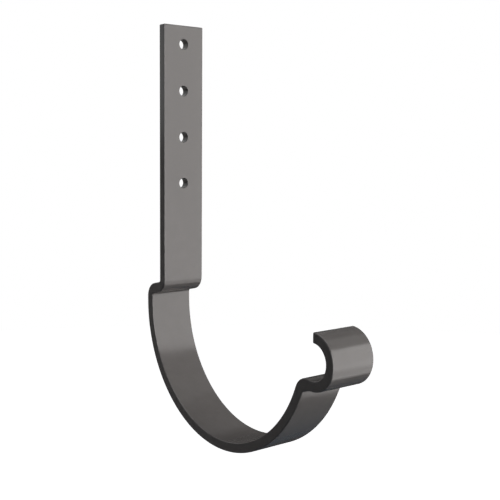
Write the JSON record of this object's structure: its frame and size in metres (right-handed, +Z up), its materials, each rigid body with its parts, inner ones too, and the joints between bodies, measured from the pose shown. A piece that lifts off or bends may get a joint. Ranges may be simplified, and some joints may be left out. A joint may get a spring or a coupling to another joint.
{
  "type": "gutter bracket",
  "caption": "Bent flat steel bar with a drilled strap, a joggle, a half-round cradle and a curl, for hanging a half-round gutter.",
  "frame": {"origin": "centre of the gutter's half circle, in the middle of the bar's width", "axes": "+X along the gutter, +Y towards the wall, +Z up"},
  "size_m": [0.025, 0.1505, 0.218],
  "materials": {
    "powder_coat": "semi-gloss anthracite grey powder coat on steel"
  },
  "bodies": {
    "root": {"bracket": "powder_coat"}
  },
  "joints": []
}
